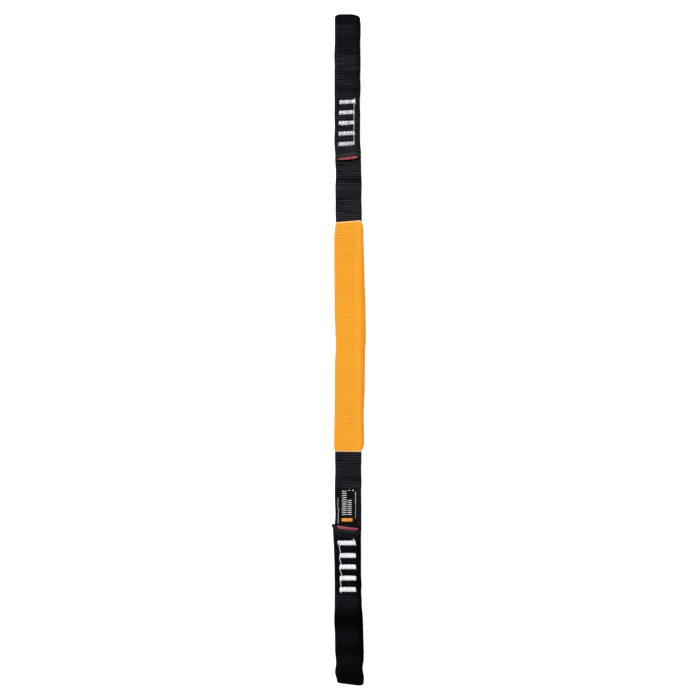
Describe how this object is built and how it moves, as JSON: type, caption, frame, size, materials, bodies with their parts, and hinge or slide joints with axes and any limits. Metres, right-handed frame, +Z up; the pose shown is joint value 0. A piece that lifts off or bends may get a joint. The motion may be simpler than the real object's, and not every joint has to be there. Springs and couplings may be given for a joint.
{
  "type": "webbing anchor sling",
  "caption": "Flat webbing sling with a sewn eye at each end, bar-tacked overlaps, a wear-indicator core and a sliding protective sleeve.",
  "frame": {"origin": "middle of the sling, on the surface that it lies on", "axes": "+Y along the sling towards the upper eye, +X across it, +Z up out of the surface"},
  "size_m": [0.0298, 0.67, 0.0142],
  "materials": {
    "black_webbing": "ribbed tubular weave",
    "red_core": "plain weave",
    "orange_sleeve": "ribbed tubular weave",
    "white_thread": "twisted polyester thread",
    "black_satin": "satin ribbon"
  },
  "bodies": {
    "run": {"webbing_run": "black_webbing", "core_run": "red_core"},
    "sleeve": {"sleeve": "orange_sleeve"},
    "upper_leg": {"webbing_upper_eye": "black_webbing", "core_upper_eye": "red_core", "upper_tack_1": "white_thread", "upper_tack_2": "white_thread", "upper_tack_3": "white_thread", "upper_tack_4": "white_thread", "upper_tack_5": "white_thread", "upper_jump_thread": "white_thread"},
    "lower_leg": {"webbing_lower_eye": "black_webbing", "core_lower_eye": "red_core", "lower_tack_1": "white_thread", "lower_tack_2": "white_thread", "lower_tack_3": "white_thread", "lower_tack_4": "white_thread", "lower_tack_5": "white_thread", "lower_jump_thread": "white_thread", "label_root": "black_satin"},
    "label": {"label_flap": "black_satin"}
  },
  "joints": [
    {"name": "sleeve_slide", "type": "slide", "parent": "run", "child": "sleeve", "axis": [0, 1, 0], "range_m": [-0.027, 0.05]},
    {"name": "upper_leg_fold", "type": "hinge", "parent": "run", "child": "upper_leg", "pos_m": [-0.00105, 0.1845, 0.0024], "axis": [1, 0, 0], "range_deg": [0, 120]},
    {"name": "lower_leg_fold", "type": "hinge", "parent": "run", "child": "lower_leg", "pos_m": [-0.00105, -0.135, 0.0024], "axis": [-1, 0, 0], "range_deg": [0, 120]},
    {"name": "label_fold", "type": "hinge", "parent": "lower_leg", "child": "label", "pos_m": [-0.00275, -0.1753, 0.00377], "axis": [1, 0, 0], "range_deg": [0, 140]}
  ]
}
